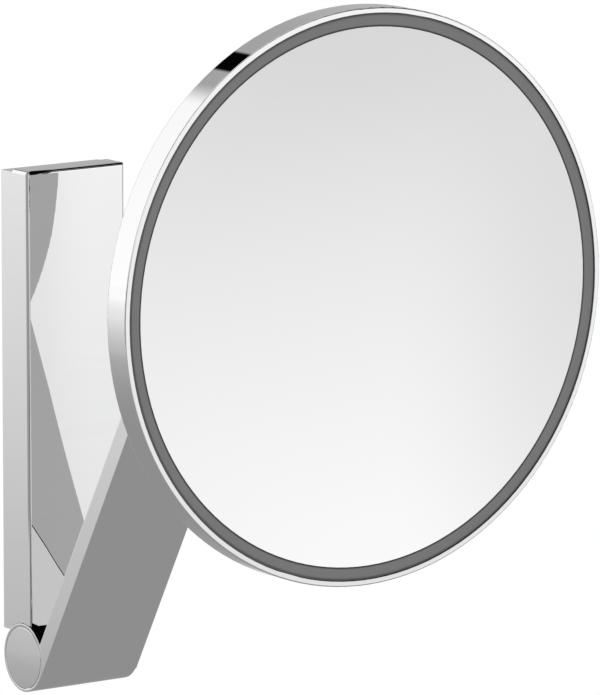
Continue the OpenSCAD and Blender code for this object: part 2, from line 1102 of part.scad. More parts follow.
// Depth of the glass's rear face at a radius, measured back from the front plane
function glass_back(r) = vertex_back - r * r / (2 * (curve_r + glass_t));

module glass_pads() {
    color("black")
        at_head()
            facing_back()
                for (turn = [0 : 120 : 240])
                    rotate([0, 0, turn])
                        rotate_extrude(angle = pad_angle)
                            polygon([
                                [pad_in, glass_back(pad_in) + pad_gap],
                                [pad_in + pad_w, glass_back(pad_in + pad_w) + pad_gap],
                                [pad_in + pad_w, floor_depth],
                                [pad_in, floor_depth]
                            ]);
}

// The glass lies between two spheres about one centre, far in front of the mirror
module mirror_glass() {
    color("aliceblue")
        at_head()
            difference() {
                intersection() {
                    facing_back()
                        cylinder(r = glass_r, h = head_d, $fn = 2 * $fn);
                    translate([0, vertex_front - curve_r, 0])
                        sphere(r = curve_r + glass_t, $fn = 4 * $fn);
                }
                translate([0, vertex_front - curve_r, 0])
                    sphere(r = curve_r, $fn = 4 * $fn);
            }
}

wall_base();
wall_cover();
cover_screws();
inlet_grommet();
led_driver();
driver_screws();
terminal_block();
terminal_screws();
wall_knuckle();
knuckle_screws();
arm_body();
lower_axle();
lower_washers();
lower_springs();
lower_nut();
lower_caps();
upper_axle();
upper_washers();
upper_springs();
upper_nut();
upper_caps();
link_arm();
tilt_axle();
tilt_washers();
tilt_nut();
swivel_block();
head_bracket();
swivel_pin();
swivel_washers();
swivel_nut();
head_housing();
head_chassis();
head_screws();
led_board();
leds();
light_ring();
glass_pads();
mirror_glass();
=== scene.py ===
# %% [markdown]
# # An extendable shaving mirror
# The mirror hangs on a slim upright wall profile. A hollow arm is hinged below
# the profile and leans out, a short link folds back behind the mirror, and a
# neck lets the round head tilt and turn. The solids come from the CAD model and
# keep their places. This lesson gives them their finishes, adds the small
# things that a solid leaves out, and sets up the camera and the light.

# %% Load the frame
import math

import bpy
from mathutils import Matrix, Vector


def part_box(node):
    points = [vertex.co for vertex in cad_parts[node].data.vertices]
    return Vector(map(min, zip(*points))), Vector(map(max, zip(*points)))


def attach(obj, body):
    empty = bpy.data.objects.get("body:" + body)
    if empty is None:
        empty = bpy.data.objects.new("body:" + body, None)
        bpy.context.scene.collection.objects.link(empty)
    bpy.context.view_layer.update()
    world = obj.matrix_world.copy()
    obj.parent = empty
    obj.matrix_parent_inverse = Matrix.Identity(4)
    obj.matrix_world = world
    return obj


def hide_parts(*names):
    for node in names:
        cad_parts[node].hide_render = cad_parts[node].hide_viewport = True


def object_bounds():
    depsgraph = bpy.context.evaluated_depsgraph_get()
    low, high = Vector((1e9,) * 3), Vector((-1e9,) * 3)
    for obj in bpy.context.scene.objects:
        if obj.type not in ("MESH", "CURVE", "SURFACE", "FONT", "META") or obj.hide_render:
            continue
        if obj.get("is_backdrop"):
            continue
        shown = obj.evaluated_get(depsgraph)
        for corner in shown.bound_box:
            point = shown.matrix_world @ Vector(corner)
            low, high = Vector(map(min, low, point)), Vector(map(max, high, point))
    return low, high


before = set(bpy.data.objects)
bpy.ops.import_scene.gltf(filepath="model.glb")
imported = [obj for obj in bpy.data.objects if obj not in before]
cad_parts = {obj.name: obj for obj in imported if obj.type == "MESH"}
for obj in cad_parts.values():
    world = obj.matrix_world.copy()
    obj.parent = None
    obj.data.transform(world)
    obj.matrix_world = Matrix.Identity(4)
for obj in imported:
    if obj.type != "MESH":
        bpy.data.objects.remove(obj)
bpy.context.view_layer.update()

# %% [markdown]
# ## The camera
# A long object looks calm when it is seen from far away through a long lens,
# because its upright edges stay nearly parallel. The camera stands to the left
# of the mirror and a little above it. Its place could be typed in, but it is
# clearer to say where the mirror's front stands in its view, how far away it is,
# and from which side it is seen. No shift and no blur are used.

# %% Place the camera
VIEW_TURN = math.radians(35.45)       # how far round to the left of straight ahead
VIEW_RISE = math.radians(9.89)        # how far above level
VIEW_AWAY = 2.9096                    # from the lens to the mirror's front, in metres
AIM_RIGHT, AIM_UP = 0.0244, 0.0179    # the mirror's middle, off the view's middle
SENSOR, FOCAL_LENGTH = 36, 414.4      # both in millimetres
SEES_TO = 100                         # metres

head_low, head_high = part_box("head_housing")
head_middle = (head_low + head_high) / 2
mirror_front = Vector((0, head_low.y, head_middle.z))

sin_t, cos_t = math.sin(VIEW_TURN), math.cos(VIEW_TURN)
sin_r, cos_r = math.sin(VIEW_RISE), math.cos(VIEW_RISE)
to_right = Vector((cos_t, -sin_t, 0))
to_top = Vector((sin_t * sin_r, cos_t * sin_r, cos_r))
to_lens = Vector((-sin_t * cos_r, -cos_t * cos_r, sin_r))

lens = bpy.data.cameras.new("camera")
lens.sensor_width, lens.lens, lens.clip_end = SENSOR, FOCAL_LENGTH, SEES_TO
camera = bpy.data.objects.new("camera", lens)
bpy.context.scene.collection.objects.link(camera)
spot = mirror_front - AIM_RIGHT * to_right - AIM_UP * to_top + VIEW_AWAY * to_lens
stance = Matrix((to_right, to_top, to_lens)).transposed().to_4x4()
camera.matrix_world = Matrix.Translation(spot) @ stance
bpy.context.scene.camera = camera
print("camera at", [round(v, 3) for v in spot])

# %% [markdown]
# ## Helpers for nodes
# A material is a tree of nodes. Making each node by hand takes three or four
# lines, so a few helpers do it: one fills or links a socket, one makes a node,
# and the others do a sum, a soft step and a mix, which are needed most often.

# %% Node helpers
def put(tree, socket, value):
    """Links the socket if the value is another socket, and sets it if not."""
    if isinstance(value, bpy.types.NodeSocket):
        tree.links.new(value, socket)
    else:
        socket.default_value = value


def add(tree, kind, inputs=None, **settings):
    """Makes a shader node. Inputs go by name or number."""
    made = tree.nodes.new("ShaderNode" + kind)
    for name, value in settings.items():
        setattr(made, name, value)
    for key, value in (inputs or {}).items():
        put(tree, made.inputs[key], value)
    return made


def calc(tree, operation, *values):
    """One sum with the Math node."""
    return add(tree, "Math", dict(enumerate(values)), operation=operation).outputs[0]


def vector_calc(tree, operation, *values):
    """One sum with the Vector Math node. A length or a dot product is a value."""
    made = add(tree, "VectorMath", dict(enumerate(values)), operation=operation)
    return made.outputs["Value" if operation in ("LENGTH", "DOT_PRODUCT") else "Vector"]


def ramp(tree, value, low, high):
    """Goes softly from 0 at low to 1 at high, and holds it outside."""
    return add(tree, "MapRange", {0: value, 1: low, 2: high},
               interpolation_type="SMOOTHSTEP").outputs[0]


def blend(tree, factor, first, second):
    """Mixes two colours or plain values as a colour."""
    made = add(tree, "Mix", data_type="RGBA")
    for socket, value in zip((made.inputs[0], made.inputs[6], made.inputs[7]),
                             (factor, first, second)):
        put(tree, socket, value)
    return made.outputs[2]


print("node helpers ready")

# %% [markdown]
# ## Greys
# A paint chart gives a grey as a number from 0 to 255. The renderer works with
# linear light instead, where half as bright is half the number, so each grey is
# converted once.

# %% Greys
def grey(level):
    """The colour of a grey from 0 to 255."""
    part = level / 255
    value = part / 12.92 if part <= 0.04045 else ((part + 0.055) / 1.055) ** 2.4
    return (value, value, value, 1)


WHITE = grey(255)
print("mid grey is", round(grey(128)[0], 3))

# %% [markdown]
# ## What the polished metal sees
# Chrome has almost no colour of its own: it shows the room. A good room for it
# is a white tent with a grey panel at the right behind the object, a floor that
# darkens towards the object's foot, and dark gaps overhead and where the camera
# looks in. It could be built from cards, but areas of the sky are simpler and
# never get between the camera and the object. Each area is a soft round patch in
# one direction.

# %% The areas of the studio
# turn, rise, full within, gone beyond, grey level; later areas cover earlier ones
STUDIO_AREAS = {
    "panel_glow": (58, 0, 4, 44, 183),
    "panel_gap": (9.4, 34.6, 2.9, 4.0, 5),
    "panel_foot": (4, -9, 5, 13, 120),
    "ceiling_edge": (128, 40, 22, 32, 200),
    "ceiling_gap": (103, 53, 23, 27, 5),
    "high_gap": (150, 73, 17, 21, 8),
    "far_gap": (138, 24, 9, 13, 8),
    "left_room": (-100, 14, 12, 58, 194),
    "left_high": (-112, 54, 12, 26, 95),
    "left_gap": (-145, 50, 10, 25, 135),
    "camera_side": (-125, -10, 28, 50, 148),
    "camera_gap": (-163, -6, 9, 17, 100),
    "right_fall": (163, -10, 6, 18, 212),
}

# The panel: the turn of its sides and how softly they start, then the heights,
# as sines of the rise, between which its top, its foot and its glow fade out.
PANEL_LEVEL = 164
PANEL_LEFT, PANEL_LEFT_SOFT = -2, (-0.10, 0.03)
PANEL_RIGHT, PANEL_RIGHT_SOFT = 112, (-0.05, 0.05)
PANEL_TOP, PANEL_BOTTOM, GLOW_FOOT = (0.80, 0.72), (-0.50, -0.30), (-0.14, -0.04)

# The areas beside the camera are cut to a band round this depth below level.
CAMERA_BAND, CAMERA_BAND_SOFT = 0.17, (0.34, 0.10)
print(len(STUDIO_AREAS), "areas:", ", ".join(STUDIO_AREAS))

# %% [markdown]
# ## One group for the studio's shade
# The sky and the far floor both show the areas. A node group that gives the
# shade for a direction is built once and placed in both, so they always agree.

# %% Directions and empty groups
def new_group(name, inputs, outputs):
    """An empty node group with named sockets."""
    tree = bpy.data.node_groups.new(name, "ShaderNodeTree")
    kinds = {"value": "NodeSocketFloat", "colour": "NodeSocketColor",
             "vector": "NodeSocketVector"}
    for direction, rows in (("INPUT", inputs), ("OUTPUT", outputs)):
        for label, kind, *start in rows:
            made = tree.interface.new_socket(label, in_out=direction,
                                             socket_type=kinds[kind])
            if start:
                made.default_value = start[0]
    return (tree, tree.nodes.new("NodeGroupInput").outputs,
            tree.nodes.new("NodeGroupOutput").inputs)


def toward(turn, rise):
    """The direction at so many degrees right of +Y and above level."""
    turn, rise = math.radians(turn), math.radians(rise)
    return (math.sin(turn) * math.cos(rise), math.cos(turn) * math.cos(rise),
            math.sin(rise))


def beside(tree, direction, turn, soft):
    """Goes from 0 to 1 across an upright plane through the middle."""
    return ramp(tree, vector_calc(tree, "DOT_PRODUCT", direction, toward(turn, 0)), *soft)


print("to the right is", [round(v, 3) for v in toward(90, 0)])

# %% [markdown]
# ## The panel and the areas in the group
# The panel is upright, so it lies between two upright planes and fades at its
# top and foot. After it come the round areas, each laid over what is there.

# %% Build the shade group
shade_tree, given, gives = new_group(
    "studio_shade",
    [("Direction", "vector"), ("Shade", "colour", WHITE)], [("Shade", "colour")])
shade, seen_at = given["Shade"], given["Direction"]
height = add(shade_tree, "SeparateXYZ", {0: seen_at}).outputs["Z"]


def both(first, second):
    """Where both masks of the studio's shade hold."""
    return calc(shade_tree, "MULTIPLY", first, second)


panel = both(both(beside(shade_tree, seen_at, PANEL_LEFT + 90, PANEL_LEFT_SOFT),
                  beside(shade_tree, seen_at, PANEL_RIGHT - 90, PANEL_RIGHT_SOFT)),
             both(ramp(shade_tree, height, *PANEL_TOP),
                  ramp(shade_tree, height, *PANEL_BOTTOM)))
off_band = calc(shade_tree, "ABSOLUTE", calc(shade_tree, "ADD", height, CAMERA_BAND))
kept_to = {"panel_glow": both(panel, ramp(shade_tree, height, *GLOW_FOOT))}
for area in ("camera_side", "camera_gap"):
    kept_to[area] = ramp(shade_tree, off_band, *CAMERA_BAND_SOFT)

shade = blend(shade_tree, panel, shade, grey(PANEL_LEVEL))
for area, (turn, rise, inner, outer, level) in STUDIO_AREAS.items():
    inside = ramp(shade_tree,
                  vector_calc(shade_tree, "DOT_PRODUCT", seen_at, toward(turn, rise)),
                  math.cos(math.radians(outer)), math.cos(math.radians(inner)))
    if area in kept_to:
        inside = both(inside, kept_to[area])
    shade = blend(shade_tree, inside, shade, grey(level))
put(shade_tree, gives["Shade"], shade)
print("group", shade_tree.name, "has", len(shade_tree.nodes), "nodes")

# %% [markdown]
# ## The sky
# The camera sees plain white behind the object. Matt surfaces are lit evenly, at
# a level at which a colour looks as it was mixed. Only mirror-like rays see the
# studio's areas. The mirror glass is smoother than the chrome, so the Light Path
# node calls its rays singular. They get a plain light ceiling, because the glass
# would turn black where it is tilted up to face a dark gap.

# %% Build the sky
SOFT_LEVEL = 0.80              # what matt surfaces get from all round
PLAIN_CEILING = 0.62           # the least that the mirror glass sees overhead
CEILING_FROM = (0.06, 0.30)    # the heights over which that ceiling sets in

# degrees below level and the grey that polished metal shows there, towards the room
AHEAD = [(-90.0, 200), (-60.0, 226), (-38.0, 250), (0.0, 255), (5.4, 254),
         (6.6, 249), (7.9, 245), (9.2, 240), (10.4, 235), (11.7, 228),
         (12.9, 220), (13.5, 216), (20.0, 184), (30.0, 152), (42.0, 143)]


def shade_ramp(tree, value, stops):
    """A colour ramp from pairs of a place from 0 to 1 and a grey."""
    made = add(tree, "ValToRGB", {0: value})
    marks = made.color_ramp.elements
    while len(marks) < len(stops):
        marks.new(0.5)
    for mark, (at, level) in zip(marks, stops):
        mark.position, mark.color = at, grey(level)
    return made.outputs[0]


world = bpy.data.worlds.new("studio")
bpy.context.scene.world = world
world.use_nodes = True
sky = world.node_tree
sky.nodes.clear()
ray = add(sky, "LightPath").outputs
facing = add(sky, "TexCoord").outputs["Generated"]
rise = add(sky, "SeparateXYZ", {0: facing}).outputs["Z"]
room = shade_ramp(sky, calc(sky, "MULTIPLY_ADD", rise, -0.5, 0.5),
                  [(0.5 + 0.5 * math.sin(math.radians(low)), level)
                   for low, level in AHEAD])
studio = add(sky, "Group", {"Direction": facing, "Shade": room},
             node_tree=shade_tree).outputs[0]
overhead = calc(sky, "MULTIPLY", ray["Is Singular Ray"], ramp(sky, rise, *CEILING_FROM))
polished = blend(sky, overhead, studio, calc(sky, "MAXIMUM", studio, PLAIN_CEILING))
lit = blend(sky, ray["Is Glossy Ray"], (SOFT_LEVEL,) * 3 + (1,), polished)
straight = calc(sky, "MAXIMUM", ray["Is Camera Ray"], ray["Is Transmission Ray"])
glow = add(sky, "Background", {"Color": blend(sky, straight, lit, WHITE)})
add(sky, "OutputWorld", {"Surface": glow.outputs[0]})
print("sky ready, matt level", SOFT_LEVEL)

# %% [markdown]
# ## The floor
# A pale floor lies under the mirror. It is one big disc, one-sided, so that a
# camera below it looks through. A plane would do as well, but a disc has no
# corners that could show in the chrome.

# %% Lay the floor
FLOOR_DROP, FLOOR_REACH = 0.45, 30.0    # metres below the origin, and its radius
FLOOR_SIDES = 96

floor_mesh = bpy.data.meshes.new("floor")
floor_mesh.from_pydata(
    [(FLOOR_REACH * math.cos(math.tau * i / FLOOR_SIDES),
      FLOOR_REACH * math.sin(math.tau * i / FLOOR_SIDES), -FLOOR_DROP)
     for i in range(FLOOR_SIDES)], [], [list(range(FLOOR_SIDES))])
floor = bpy.data.objects.new("floor", floor_mesh)
bpy.context.scene.collection.objects.link(floor)
floor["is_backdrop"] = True
print("floor at", -FLOOR_DROP, "m, reach", FLOOR_REACH, "m")

# %% [markdown]
# ## How the floor shows in the chrome
# In the chrome the floor shows darker near the object and lighter far off, which
# gives the flat faces their long gradients. Two colour ramps over the distance
# hold these shades, one for the floor behind and one for the right of it. From
# about two metres on, the studio's areas take over, and towards the room the
# floor is clear, so that the sky's own ramp shows.

# %% The floor's shade in the chrome
FAR = 8.0                       # beyond this the floor's shade no longer changes
AREAS_FROM = (1.97, 2.13)       # where the studio's areas set in, in metres
ROOM_TURN, ROOM_SOFT = 144, (0.0, 0.4)
RIGHT_TURN, RIGHT_SOFT = 88, (-0.1, 0.35)

# distance in metres and the grey that polished metal shows there, towards the wall
BEHIND = [(0.0, 142), (0.65, 143), (0.86, 147), (1.07, 154), (1.4, 166), (1.56, 173),
          (1.72, 186), (2.0, 194), (2.3, 204), (2.74, 214), (3.2, 223), (3.5, 228),
          (5.8, 241), (7.9, 252)]
BEHIND_RIGHT = [(0.0, 142), (0.42, 144), (0.54, 154), (0.8, 163), (1.04, 192),
                (1.43, 217), (1.8, 203), (2.0, 198)]


def distance_ramp(tree, distance, stops):
    """A ramp whose stops are given in metres and greys."""
    return shade_ramp(tree, calc(tree, "DIVIDE", distance, FAR),
                      [(metres / FAR, level) for metres, level in stops])


floor_paint = bpy.data.materials.new("floor_paint")
floor_paint.use_nodes = True
tree = floor_paint.node_tree
tree.nodes.clear()
place = add(tree, "TexCoord").outputs["Object"]
flat = vector_calc(tree, "MULTIPLY", place, (1, 1, 0))
distance = vector_calc(tree, "LENGTH", flat)
level_way = vector_calc(tree, "NORMALIZE", flat)
shown = blend(tree, beside(tree, level_way, RIGHT_TURN, RIGHT_SOFT),
              distance_ramp(tree, distance, BEHIND),
              distance_ramp(tree, distance, BEHIND_RIGHT))
areas = add(tree, "Group", {"Direction": vector_calc(tree, "NORMALIZE", place),
                            "Shade": shown}, node_tree=shade_tree)
shown = blend(tree, ramp(tree, distance, *AREAS_FROM), shown, areas.outputs[0])
print("floor shades for", len(BEHIND) + len(BEHIND_RIGHT), "distances")

# %% [markdown]
# ## How the floor looks itself
# Close to the object the floor is a matt surface that takes a soft shadow.
# Further out it goes over into the white behind. The rays decide which of its
# faces shows: the camera's rays see this one, and mirror-like rays the other.

# %% Paint the floor
FADE_OUT = (0.45, 1.35)         # metres from the middle over which it turns white
SPECK_SCALE, SPECK_DARK, SPECK_LIGHT = 900.0, 240, 246


def mix_shaders(factor, first, second):
    """One Mix Shader node of the floor's paint."""
    return add(tree, "MixShader", {0: factor, 1: first.outputs[0], 2: second.outputs[0]})


ray = add(tree, "LightPath").outputs
speck = add(tree, "TexNoise", {"Vector": place, "Scale": SPECK_SCALE, "Detail": 2.0})
matt = add(tree, "BsdfDiffuse", {"Color": blend(tree, speck.outputs[0], grey(SPECK_DARK),
                                                grey(SPECK_LIGHT))})
white = add(tree, "Emission", {"Color": WHITE})
clear = add(tree, "BsdfTransparent")
out_there = calc(tree, "MULTIPLY", ray["Is Camera Ray"], ramp(tree, distance, *FADE_OUT))
seen = mix_shaders(out_there, matt, white)
mirrored = mix_shaders(beside(tree, level_way, ROOM_TURN, ROOM_SOFT),
                       add(tree, "Emission", {"Color": shown}), clear)
above = mix_shaders(ray["Is Glossy Ray"], seen, mirrored)
surface = mix_shaders(add(tree, "NewGeometry").outputs["Backfacing"], above, clear)
add(tree, "OutputMaterial", {"Surface": surface.outputs[0]})
floor_mesh.materials.append(floor_paint)
print("floor painted, white from", FADE_OUT[1], "m")

# %% [markdown]
# ## One soft lamp
# Even light from all round leaves no shadow. A large soft lamp above and in
# front adds a gentle one, and a little shape on the matt parts. It is kept out
# of the chrome, which would show it as a burnt patch.

# %% Hang the lamp
LAMP_WIDTH, LAMP_WATTS, LAMP_PLACE = 1.6, 12.0, (-1.0, -1.6, 1.9)

lamp_data = bpy.data.lights.new("soft_box", "AREA")
lamp_data.shape, lamp_data.size, lamp_data.energy = "DISK", LAMP_WIDTH, LAMP_WATTS
lamp = bpy.data.objects.new("soft_box", lamp_data)
bpy.context.scene.collection.objects.link(lamp)
lamp.location = LAMP_PLACE
lamp.rotation_mode = "QUATERNION"
lamp.rotation_quaternion = (lamp.location - mirror_front).to_track_quat("Z", "Y")
lamp.visible_glossy = lamp.visible_camera = False
print("lamp at", [round(v, 2) for v in lamp.location])

# %% [markdown]
# ## Haze from handling
# Real surfaces are never perfectly even. A few small groups hold what many parts
# have in common, and each finish chooses how strong it is. The first is the haze
# that wiping and handling leave: clouds of roughness, broken up by long streaks
# in the direction of the cloth.

# %% Group: handling haze
STREAK_TURN, STREAK_STRETCH, STREAK_FINER = (0.3, 0.5, 0.2), (0.35, 1.0, 3.5), 6.0
HAZE_FROM, HAZE_TO = 0.18, 0.42

haze_tree, given, gives = new_group(
    "handling_haze",
    [("Clean", "value", 0.03), ("Hazy", "value", 0.08), ("Scale", "value", 40.0)],
    [("Roughness", "value"), ("Mask", "value")])
place = add(haze_tree, "TexCoord").outputs["Object"]
cloud = add(haze_tree, "TexNoise", {"Vector": place, "Scale": given["Scale"],
                                    "Detail": 4.0, "Roughness": 0.6})
streaked = add(haze_tree, "Mapping", {"Vector": place, "Rotation": STREAK_TURN,
                                      "Scale": STREAK_STRETCH})
streaks = add(haze_tree, "TexNoise",
              {"Vector": streaked.outputs[0], "Detail": 3.0,
               "Scale": calc(haze_tree, "MULTIPLY", given["Scale"], STREAK_FINER)})
mask = ramp(haze_tree, calc(haze_tree, "MULTIPLY", cloud.outputs[0], streaks.outputs[0]),
            HAZE_FROM, HAZE_TO)
spread = calc(haze_tree, "SUBTRACT", given["Hazy"], given["Clean"])
put(haze_tree, gives["Mask"], mask)
put(haze_tree, gives["Roughness"],
    calc(haze_tree, "MULTIPLY_ADD", mask, spread, given["Clean"]))
print("group", haze_tree.name)

# %% [markdown]
# ## Hairlines
# Buffing, brushing and turning all leave fine lines in one direction. Noise that
# is drawn out along that direction looks like them at any distance.

# %% Group: hairlines along one axis
hair_tree, given, gives = new_group(
    "hairlines",
    [("Stretch", "vector", (1.0, 1.0, 0.02)), ("Scale", "value", 3000.0)],
    [("Height", "value")])
drawn_out = vector_calc(hair_tree, "MULTIPLY", add(hair_tree, "TexCoord").outputs["Object"],
                        given["Stretch"])
lines = add(hair_tree, "TexNoise", {"Vector": drawn_out, "Scale": given["Scale"],
                                    "Detail": 2.0, "Roughness": 0.7})
put(hair_tree, gives["Height"], lines.outputs[0])
print("group", hair_tree.name)

# %% [markdown]
# ## The grain of a mould
# A moulded part takes the fine grain of its mould, and its colour drifts slowly
# over larger areas. Two noises of different size give both.

# %% Group: the grain of a mould
mould_tree, given, gives = new_group(
    "mould_grain",
    [("Scale", "value", 2500.0), ("Coarse", "value", 200.0)],
    [("Height", "value"), ("Drift", "value")])
place = add(mould_tree, "TexCoord").outputs["Object"]
for output, scale, detail in (("Height", "Scale", 2.0), ("Drift", "Coarse", 3.0)):
    noise = add(mould_tree, "TexNoise", {"Vector": place, "Scale": given[scale],
                                         "Detail": detail})
    put(mould_tree, gives[output], noise.outputs[0])
print("group", mould_tree.name)

# %% [markdown]
# ## Distance from the head's axis
# The light ring, the board and the diodes are all round, with the same axis. How
# far a point lies from that axis tells which band of them it belongs to.

# %% Group: distance from an axis
axis_tree, given, gives = new_group(
    "axis_distance", [("Centre", "vector"), ("Across", "vector", (1.0, 0.0, 1.0))],
    [("Radius", "value")])
off = vector_calc(axis_tree, "SUBTRACT", add(axis_tree, "TexCoord").outputs["Object"],
                  given["Centre"])
put(axis_tree, gives["Radius"],
    vector_calc(axis_tree, "LENGTH", vector_calc(axis_tree, "MULTIPLY", off, given["Across"])))
print("group", axis_tree.name)

# %% [markdown]
# ## How a finish is started
# Each finish is one Principled BSDF. Numbers that are the same all over go
# straight onto its sockets. Whatever varies comes from the groups, and because
# nearly every finish varies its colour, its roughness and its surface, there is
# a helper for each.

# %% Helpers for finishes
FINISH = {}


def start_finish(name, colour, **sockets):
    """A material with one Principled BSDF, kept under its name. Gives tree and shader."""
    made = FINISH[name] = bpy.data.materials.new(name)
    made.use_nodes = True
    shader = made.node_tree.nodes["Principled BSDF"]
    shader.inputs["Base Color"].default_value = (*colour[:3], 1)
    for key, value in sockets.items():
        shader.inputs[key.replace("_", " ")].default_value = value
    return made.node_tree, shader


def effect(tree, group, **inputs):
    """Places a group and sets its inputs."""
    return add(tree, "Group", inputs, node_tree=group).outputs


def tint(tree, shader, factor, first, second):
    """Colours the surface from first to second."""
    put(tree, shader.inputs["Base Color"], blend(tree, factor, first, second))


def wipe(tree, shader, clean, hazy, scale):
    """Lets the roughness vary from clean to hazy. Gives the mask of the haze."""
    haze = effect(tree, haze_tree, Clean=clean, Hazy=hazy, Scale=scale)
    put(tree, shader.inputs["Roughness"], haze["Roughness"])
    return haze["Mask"]


def emboss(tree, shader, height, depth, strength=1.0):
    """Raises the surface by the height times the depth in metres."""
    bump = add(tree, "Bump", {"Height": height, "Distance": depth, "Strength": strength})
    put(tree, shader.inputs["Normal"], bump.outputs[0])


def from_axis(tree, right=0.0):
    """How far a point is from the head's axis, or from a line so far right of it."""
    return effect(tree, axis_tree, Centre=(right, 0.0, head_middle.z))["Radius"]


print("finish helpers ready")

# %% [markdown]
# ## Polished chrome
# The profile, the arm, the barrels' caps, the neck and the head's shell are
# chrome plated. Chrome is a bright, nearly colourless mirror. What makes it look
# real is that it isn't quite perfect: a breath of haze where it was wiped, and a
# trace of the buffing wheel. Both are kept very faint on a new mirror.

# %% Chrome
CHROME, CHROME_WIPED = (0.985, 0.986, 0.988, 1), (0.972, 0.974, 0.978, 1)
BUFFING_DEPTH, BUFFING_STRENGTH = 0.0000002, 0.4

tree, shader = start_finish("chrome", CHROME, Metallic=1.0)
tint(tree, shader, wipe(tree, shader, 0.006, 0.016, 14.0), CHROME, CHROME_WIPED)
buffed = effect(tree, hair_tree, Stretch=(1.0, 1.0, 0.03), Scale=2600.0)
emboss(tree, shader, buffed["Height"], BUFFING_DEPTH, BUFFING_STRENGTH)
print("chrome made")

# %% [markdown]
# ## Mirror glass
# The glass is silvered behind, and grey paint protects the silver. Its edge is
# ground and looks slightly green. The object's own normal tells front, edge and
# back apart, so one finish serves all three and turns with the head.

# %% Mirror
SILVER = (0.975, 0.977, 0.977, 1)
GROUND_EDGE, BACK_PAINT = (0.42, 0.55, 0.50, 1), (0.09, 0.095, 0.10, 1)
GROUND_ROUGHNESS = 0.5

tree, shader = start_finish("mirror", SILVER, Metallic=1.0)
haze = effect(tree, haze_tree, Clean=0.0, Hazy=0.001, Scale=12.0)
outward = add(tree, "SeparateXYZ", {0: add(tree, "TexCoord").outputs["Normal"]}).outputs["Y"]
not_front = ramp(tree, outward, -0.6, -0.3)
is_back = ramp(tree, outward, 0.3, 0.6)
tint(tree, shader, is_back, blend(tree, not_front, SILVER, GROUND_EDGE), BACK_PAINT)
put(tree, shader.inputs["Roughness"],
    calc(tree, "MULTIPLY_ADD", not_front, GROUND_ROUGHNESS, haze["Roughness"]))
print("mirror made")

# %% [markdown]
# ## The frosted light ring
# A ring of opal plastic lies round the glass. Unlit it is a plain mid grey with
# a fine blasted grain. Little light reaches its two edges, where it meets the
# glass and the metal lip, so a darker shade is painted into its colour there.
# The distance from the axis finds those edges. The painted shade along the lip
# is measured from a line a little to the right, because the left side of the
# lip shades more of the ring.

# %% Frosted ring
ring_low, ring_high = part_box("light_ring")
glass_low, glass_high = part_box("mirror_glass")
RING_OUTER = (ring_high.x - ring_low.x) / 2
RING_INNER = (glass_high.x - glass_low.x) / 2 + 0.00015
OPAL_DARK, OPAL_LIGHT = (0.184, 0.184, 0.185, 1), (0.206, 0.206, 0.207, 1)
# painted shade: the dark colour laid over the ring's two edges
OPAL_PAINTED_SHADE = (0.05, 0.05, 0.051, 1)
GLASS_SHADE = (RING_INNER + 0.0008, RING_INNER + 0.0002)
LIP_SHADE = (RING_OUTER - 0.0012, RING_OUTER - 0.0004)
LIP_STRENGTH, LIP_SHIFT = 0.7, 0.0005
BLASTED_DEPTH = 0.00001

tree, shader = start_finish("frosted_ring", OPAL_LIGHT, Roughness=0.55,
                            Specular_IOR_Level=0.25)
grain = effect(tree, mould_tree, Scale=3000.0, Coarse=60.0)
near_glass = ramp(tree, from_axis(tree), *GLASS_SHADE)
near_lip = calc(tree, "MULTIPLY", ramp(tree, from_axis(tree, LIP_SHIFT), *LIP_SHADE),
                LIP_STRENGTH)
# painted shade where the ring meets the glass and the lip
tint(tree, shader, calc(tree, "MAXIMUM", near_glass, near_lip),
     blend(tree, grain["Drift"], OPAL_DARK, OPAL_LIGHT), OPAL_PAINTED_SHADE)
emboss(tree, shader, grain["Height"], BLASTED_DEPTH)
print("ring from", round(1000 * RING_INNER, 2), "to", round(1000 * RING_OUTER, 2), "mm")

# %% [markdown]
# ## Metals inside and behind
# The wall hinge's knuckle is satin nickel, the axles, nuts and screws are zinc
# plated steel, the disc springs are dark tempered steel and the terminal's
# screws are brass. They share one recipe: a metal whose tint drifts a little, a
# roughness that varies with handling, and fine lines from the tool. Only the
# numbers differ, so a small helper makes all four.

# %% Metals
# name: fresh tint, aged tint, clean and hazy roughness, stretch of the tool's
# lines, and their depth in metres
METALS = {
    "satin_steel": ((0.60, 0.60, 0.58, 1), (0.52, 0.52, 0.51, 1), 0.26, 0.38,
                    (0.03, 1.0, 1.0), 0.000004),
    "steel": ((0.58, 0.59, 0.61, 1), (0.49, 0.51, 0.55, 1), 0.20, 0.36,
              (1.0, 0.06, 0.06), 0.000003),
    "spring_steel": ((0.20, 0.21, 0.24, 1), (0.24, 0.19, 0.15, 1), 0.24, 0.42,
                     (1.0, 0.2, 0.2), 0.000003),
    "brass": ((0.72, 0.50, 0.18, 1), (0.55, 0.36, 0.12, 1), 0.18, 0.36,
              (0.1, 1.0, 0.1), 0.000003),
}
for name, (fresh, aged, clean, hazy, stretch, line_depth) in METALS.items():
    tree, shader = start_finish(name, fresh, Metallic=1.0)
    grain = effect(tree, mould_tree, Scale=4200.0, Coarse=320.0)
    tint(tree, shader, ramp(tree, grain["Drift"], 0.38, 0.66), fresh, aged)
    wipe(tree, shader, clean, hazy, 90.0)
    lines = effect(tree, hair_tree, Stretch=stretch, Scale=2800.0)
    emboss(tree, shader, calc(tree, "MULTIPLY_ADD", grain["Height"], 0.3, lines["Height"]),
           line_depth, 0.6)
    print(name, "made")

# %% [markdown]
# ## Moulded plastics and rubber
# The driver's case, the terminal block and the head's chassis are white
# moulded plastic, the hinge washers are a cream low-friction polymer, and the
# grommet is black rubber with a dusty bloom. Plastics share the grain that the
# mould gives them and a tone that is never quite even.

